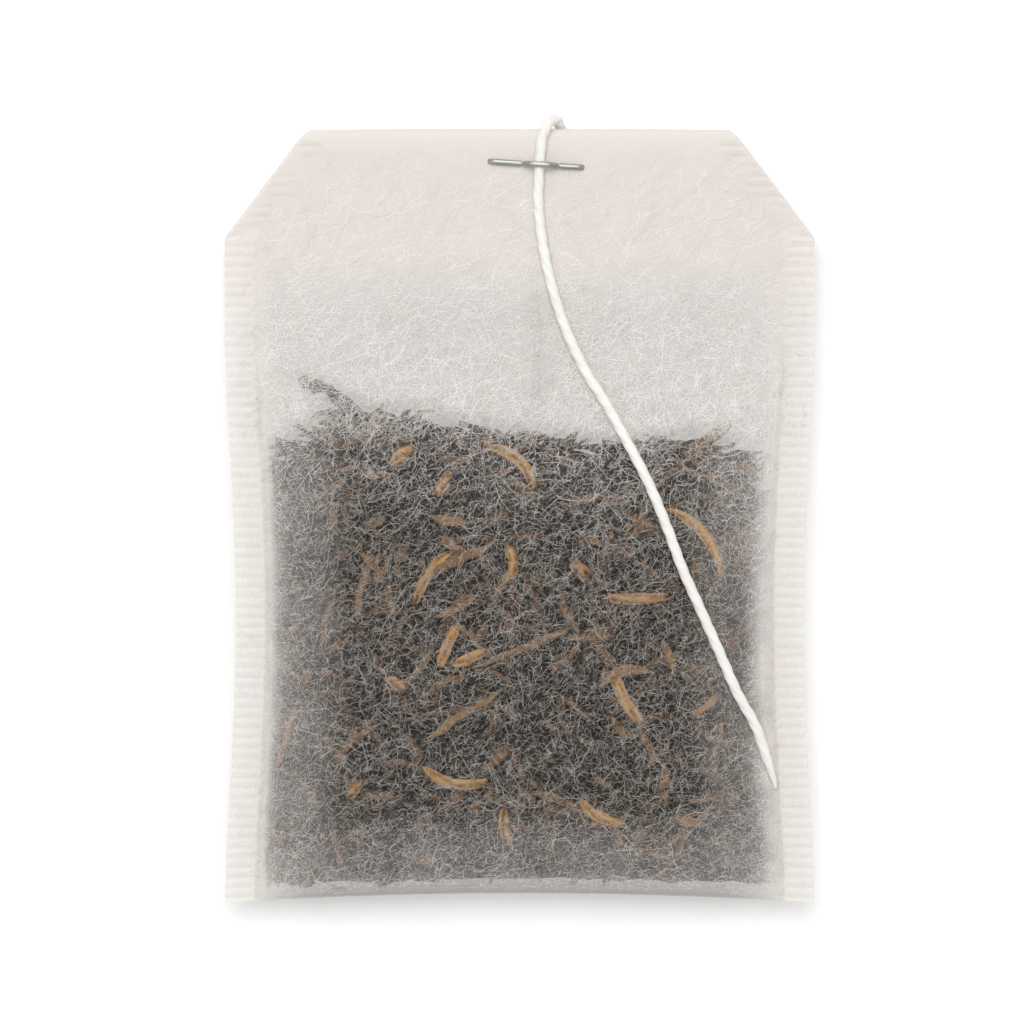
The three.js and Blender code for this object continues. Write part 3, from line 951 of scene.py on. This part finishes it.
# %% Heap of tea
heap_gap = 0.75 * MM
heap_inset = 1.4 * MM
heap_columns = 72
heap_rows = 46
bm, column, row = grid_of(heap_columns, heap_rows)
half = heap_columns // 2
across = np.where(column <= half, column, heap_columns - column) / half * 2 - 1
climb = np.clip(row - 1, 0, heap_rows - 2) / (heap_rows - 2)
guess_x = np.sin(across * np.pi / 2) * (half_width - seal_width - tea_side_gap)
heap_floor = tea_floor_y + 0.3 * MM + 0.5 * MM * bumps(guess_x, guess_x, 2.5 * MM, 14)
heap_top = tea_edge(guess_x) - heap_inset + 0.9 * MM * bumps(guess_x, guess_x, 1.7 * MM, 16)
heap_y = heap_floor + climb * (heap_top - heap_floor)
heap_side = np.maximum(0.5, 0.9 + bumps(across, heap_y, 2.4 * MM, 15)) * MM
heap_x = np.sin(across * np.pi / 2) * (pocket(heap_y) - heap_side - 1.5 * MM * np.abs(2 * climb - 1) ** 8)
roof = front_wall(heap_x, heap_y, paper) - heap_gap + 0.25 * MM * bumps(heap_x, heap_y, 1.3 * MM, 7)
bed = back_wall(heap_x, heap_y, paper) + 0.3 * MM
roof = np.maximum(roof, bed + 0.1 * MM)
heap_z = np.where(column <= half, roof, bed)
heap_z = np.where((row == 0) | (row == heap_rows), (roof + bed) / 2, heap_z)
heap_z = np.where((column == 0) | (column == half) | (column == heap_columns), (roof + bed) / 2, heap_z)
move_to(bm, places_at(heap_x, lift_bottom(heap_x, heap_y), heap_z))
close_up(bm)
heap_mesh = to_mesh(bm, "heap")
set_tone(heap_mesh, np.full(len(heap_mesh.vertices), 0.2))
heap_piece = add_piece("tea_heap", heap_mesh, black_leaf, 180)
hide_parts("tea_bed")
print("heap faces:", len(heap_mesh.polygons))

# %% Rolled leaves
leaf_stations = 7
leaf_sides = 6
side_clearance = 0.25 * MM
paper_clearance = 0.05 * MM


def leaves(name, x, y, heading, length, turning, tone, girth, front, nearest, deepest):
    """Rolled leaves between two depths under the front paper, or above the back paper."""
    count = len(x)
    line_x, line_y = wander(x, y, heading, length, turning, leaf_stations, 0.12)
    line_y = np.clip(line_y, tea_floor_y - 0.5 * MM, None)
    share = np.linspace(0, 1, leaf_stations)
    body = np.sin(np.pi * np.clip(share, 0.04, 0.96)) ** 0.4
    uneven = chance.uniform(0.7, 1.15, (count, leaf_stations))
    wide = girth[:, None] * body * uneven
    room = pocket(line_y) - wide - side_clearance
    line_x = np.clip(line_x, -room, room)
    top = front_wall(line_x, line_y, paper)
    base = back_wall(line_x, line_y, paper)
    wide = np.minimum(wide, 0.4 * (top - base))
    thick = wide * chance.uniform(0.45, 0.9, (count, 1))
    roll = chance.uniform(-0.5, 0.5, (count, 1)) + share * chance.normal(0, 1.2, (count, 1))
    tall = np.hypot(thick * np.cos(roll), wide * np.sin(roll)) + paper_clearance
    depth = nearest + chance.random((count, 1)) ** 1.6 * (deepest - nearest)
    ceiling = top - tall
    ground = base + tall
    z = np.maximum(ceiling - depth, ground) if front else np.minimum(ground + depth, ceiling)
    lines = places_at(line_x, lift_bottom(line_x, line_y), z)
    mesh, size = lay_rods(lines, wide, thick, leaf_sides, roll)
    set_tone(mesh, np.repeat(tone, size))
    add_piece(name, mesh, black_leaf, 70)
    print(name, count, "leaves,", len(mesh.polygons), "faces")


def scatter(name, count, front):
    """Leaves at random all over the filling, short of its edges by half their reach, flatter at the top."""
    level = chance.random(count) ** 0.9
    heading = chance.uniform(-np.pi / 2, np.pi / 2, count) * (1 - 0.7 * ramp(level, 0.84, 0.96))
    length = MM * np.clip(chance.lognormal(1.15, 0.45, count), 1.2, 7.5)
    reach_x = 0.45 * length * np.abs(np.cos(heading))
    reach_y = 0.45 * length * np.abs(np.sin(heading)) + chance.uniform(-0.2, 0.5, count) * MM
    across = np.sin(chance.uniform(-1.3, 1.3, count)) / np.sin(1.3)
    guess = across * (half_width - seal_width - tea_side_gap)
    lowest = tea_floor_y - 0.4 * MM + reach_y
    y = lowest + level * (tea_edge(guess) - reach_y - lowest)
    x = across * (pocket(y) - chance.uniform(0, 1, count) * MM - reach_x)
    turning = chance.normal(0, 0.9, count)
    brown = chance.random(count) < 0.36
    tone = np.where(brown, chance.uniform(0.46, 0.8, count), 0.44 * chance.beta(1.6, 2.2, count))
    girth = MM * chance.uniform(0.24, 0.52, count) * np.clip(length / (3 * MM), 0.6, 1)
    leaves(name, x, y, heading, length, turning, tone, girth, front, 0.24 * MM, 0.85 * MM)


scatter("front_leaves", 1700, True)
scatter("back_leaves", 900, False)

# %% Brown strands that show in front
brown_strands = np.array([
    (-2.0, -20.7, 37, 2.9, 0.75), (-19.7, -18.6, 75, 6, 0.98), (12.6, -11.8, -70, 3, 0.85),
    (15.7, -16.1, 45, 3.2, 0.97), (11.65, -29, -20, 2, 0.85), (14.4, -26, 0, 2.2, 0.85),
    (-7.6, -29.6, 20, 1.6, 0.85), (16.6, -22.4, -38, 5.4, 0.62), (-13.3, -6.3, 80, 5, 0.85),
    (-16.3, -8.9, 78, 5, 0.8), (-5.9, -0.4, -10, 3.4, 0.9), (-16.1, 2.2, 30, 4, 0.75),
    (-13.1, 7.2, 40, 4, 0.75), (-5.2, -3.8, 28, 6.2, 0.78), (-5.1, -7.6, 30, 4.4, 0.8),
    (0, -11.3, 22, 9.5, 0.8), (-4.6, -16.7, 31, 7.7, 0.85), (6.8, 1.2, 12, 6, 0.7),
    (8.8, -13.5, 15, 5, 0.85), (13.6, 4.2, 40, 7, 0.72), (3, -24, -15, 5, 0.75),
    (-17.2, 11, -20, 3.6, 0.15), (-14.6, 9.4, -36, 4.8, 0.2), (19, -3, 60, 4, 0.75),
])
strand_places = brown_strands[:, :2] * MM
leaves(
    "brown_strands",
    strand_places[:, 0],
    strand_places[:, 1],
    np.radians(brown_strands[:, 2]),
    brown_strands[:, 3] * MM,
    chance.normal(0, 0.5, len(brown_strands)),
    brown_strands[:, 4],
    MM * np.where(brown_strands[:, 4] < 0.5, 0.76, 0.46),
    True,
    0,
    0.1 * MM,
)

# %% [markdown]
# ## Golden tips
# The golden curls are buds, rolled into rods with a crease along them. Each one stands for its own node of
# the model: the same place across and up the filling, heading, length and bend, with a two-lobed section.

# %% Golden curls
curls = [
    (-0.01, 0.89, -40, 6, -85, 0.5), (-0.48, 0.9, 40, 2.6, -50, 0.4), (-0.31, 0.84, 60, 2.4, 30, 0.4),
    (-0.03, 0.68, -90, 3.4, -70, 0.45), (-0.38, 0.66, -125, 5.6, 55, 0.45),
    (-0.3, 0.52, -113, 4.4, 25, 0.55), (-0.21, 0.49, 25, 3.4, 10, 0.5),
    (-0.51, 0.44, -30, 2, 20, 0.4), (0.76, 0.74, -50, 8, -75, 0.62),
    (0.49, 0.61, 0, 5.6, 12, 0.45), (0.25, 0.67, -35, 1.8, 0, 0.35), (0.43, 0.41, -62, 5.4, 45, 0.62),
    (-0.27, 0.24, -12, 6, 75, 0.52), (0.32, 0.17, -30, 4.8, 65, 0.5), (-0.06, 0.145, -80, 4, 40, 0.3),
    (-0.67, 0.23, 55, 2, 0, 0.3), (0.77, 0.93, 36, 5, 10, 0.25),
]
curl_radius = 0.48 * MM
curl_gap = 0.06 * MM
curl_columns = 24
curl_stations = 33


def curl_line(across, up, heading, length, turning):
    y0 = bottom_y + up * (tea_top_y - bottom_y)
    x0 = across * (pocket(y0) - tea_side_gap)
    share = np.linspace(-0.5, 0.5, curl_stations)
    chord = math.radians(heading) + math.radians(turning) * share / 2
    x = x0 + length * MM * share * np.cos(chord)
    y = y0 + length * MM * share * np.sin(chord)
    z = front_wall(x, y, paper) - curl_radius - curl_gap
    return places_at(x, lift_bottom(x, y), z)


def curl_girth(angle, share):
    body = np.sqrt(np.clip(1 - (2 * share - 1) ** 4, 0, 1)) * (0.85 + 0.25 * share)
    lobes = 1 + 0.16 * np.cos(2 * angle + 2.5 * share) + 0.05 * np.cos(5 * angle - 3 * share)
    return curl_radius * body * lobes, 0.85 * curl_radius * body * lobes


for number, curl in enumerate(curls, start=1):
    node = f"leaf_curl_{number:02d}"
    bm, angle, row = tube(curl_line(*curl[:-1]), curl_columns, curl_girth)
    share = row / row.max()
    crease = np.cos(4 * angle + 5 * share + number)
    streaks = 0.2 * crease + 0.45 * bumps(np.cos(angle) + number, np.sin(angle) + 3 * share, 0.6, 20)
    tone_layer = bm.verts.layers.float.new("tone")
    for vert, tone in zip(bm.verts, curl[-1] + streaks - 0.3 * np.abs(2 * share - 1) ** 3):
        vert[tone_layer] = tone
    close_up(bm)
    mesh = to_mesh(bm, node)
    curl_piece = add_piece(f"golden_curl_{number:02d}", mesh, golden_leaf, 180)
    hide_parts(node)
print("golden curls:", len(curls))

# %% [markdown]
# ## Table and light
# The table is pale and almost white in the picture, but it has to keep the bag's soft shadow. So its
# colour does most of the work, and a little emission, seen only by the camera and in the shiny staple,
# lifts it to white. A broad lamp beyond the top of the bag and an even sky give plain light.

# %% Table
def table_material():
    material, tree, shader = new_material("pale table", 0.9)
    path = add_node(tree, "ShaderNodeLightPath")
    grain = add_node(tree, "ShaderNodeTexNoise", Scale=180.0, Detail=3.0)
    place = add_node(tree, "ShaderNodeTexCoord")
    tint = colour_ramp(tree, (0.3, (0.90, 0.90, 0.90)), (0.7, (0.92, 0.92, 0.92)))
    seen = add_math(tree, "MAXIMUM")
    glow = add_math(tree, "MULTIPLY", 0.2)
    link(tree, (place, "Object"), (grain, "Vector"), (grain, "Fac"), (tint, "Fac"))
    link(tree, (tint, "Color"), (shader, "Base Color"))
    link(tree, (path, "Is Camera Ray"), (seen, 0), (path, "Is Glossy Ray"), (seen, 1), (seen, 0), (glow, 0))
    shader.inputs["Emission Color"].default_value = (1, 1, 1, 1)
    link(tree, (glow, 0), (shader, "Emission Strength"))
    return material


table_radius = 1.5
table_drop = 0.03 * MM
bm = bmesh.new()
bmesh.ops.create_circle(bm, cap_ends=True, segments=96, radius=table_radius)
bmesh.ops.translate(bm, verts=bm.verts[:], vec=(0, 0, -table_drop))
table = bpy.data.objects.new("table", to_mesh(bm, "table"))
table.data.materials.append(table_material())
scene.collection.objects.link(table)

# %% Sky and lamp
world = bpy.data.worlds.new("studio")
world.use_nodes = True
scene.world = world
sky = world.node_tree.nodes["Background"]
sky.inputs["Color"].default_value = (1, 1, 1, 1)
light_path = add_node(world.node_tree, "ShaderNodeLightPath")
sky_level = add_range(world.node_tree, 0.58, 1)
link(world.node_tree, (light_path, "Is Camera Ray"), (sky_level, "Value"))
link(world.node_tree, (sky_level, "Result"), (sky, "Strength"))

lamp_data = bpy.data.lights.new("broad lamp", "AREA")
lamp_data.size = 0.36
lamp_data.energy = 1.95
lamp = bpy.data.objects.new("broad lamp", lamp_data)
lamp.location = (-0.04, 0.21, 0.56)
lamp.rotation_euler = (-lamp.location).to_track_quat("-Z", "Y").to_euler()
scene.collection.objects.link(lamp)

scene.view_settings.view_transform = "Standard"
scene.cycles.transparent_max_bounces = 16
scene.cycles.diffuse_bounces = 3
print("lamp power in watts:", lamp_data.energy)
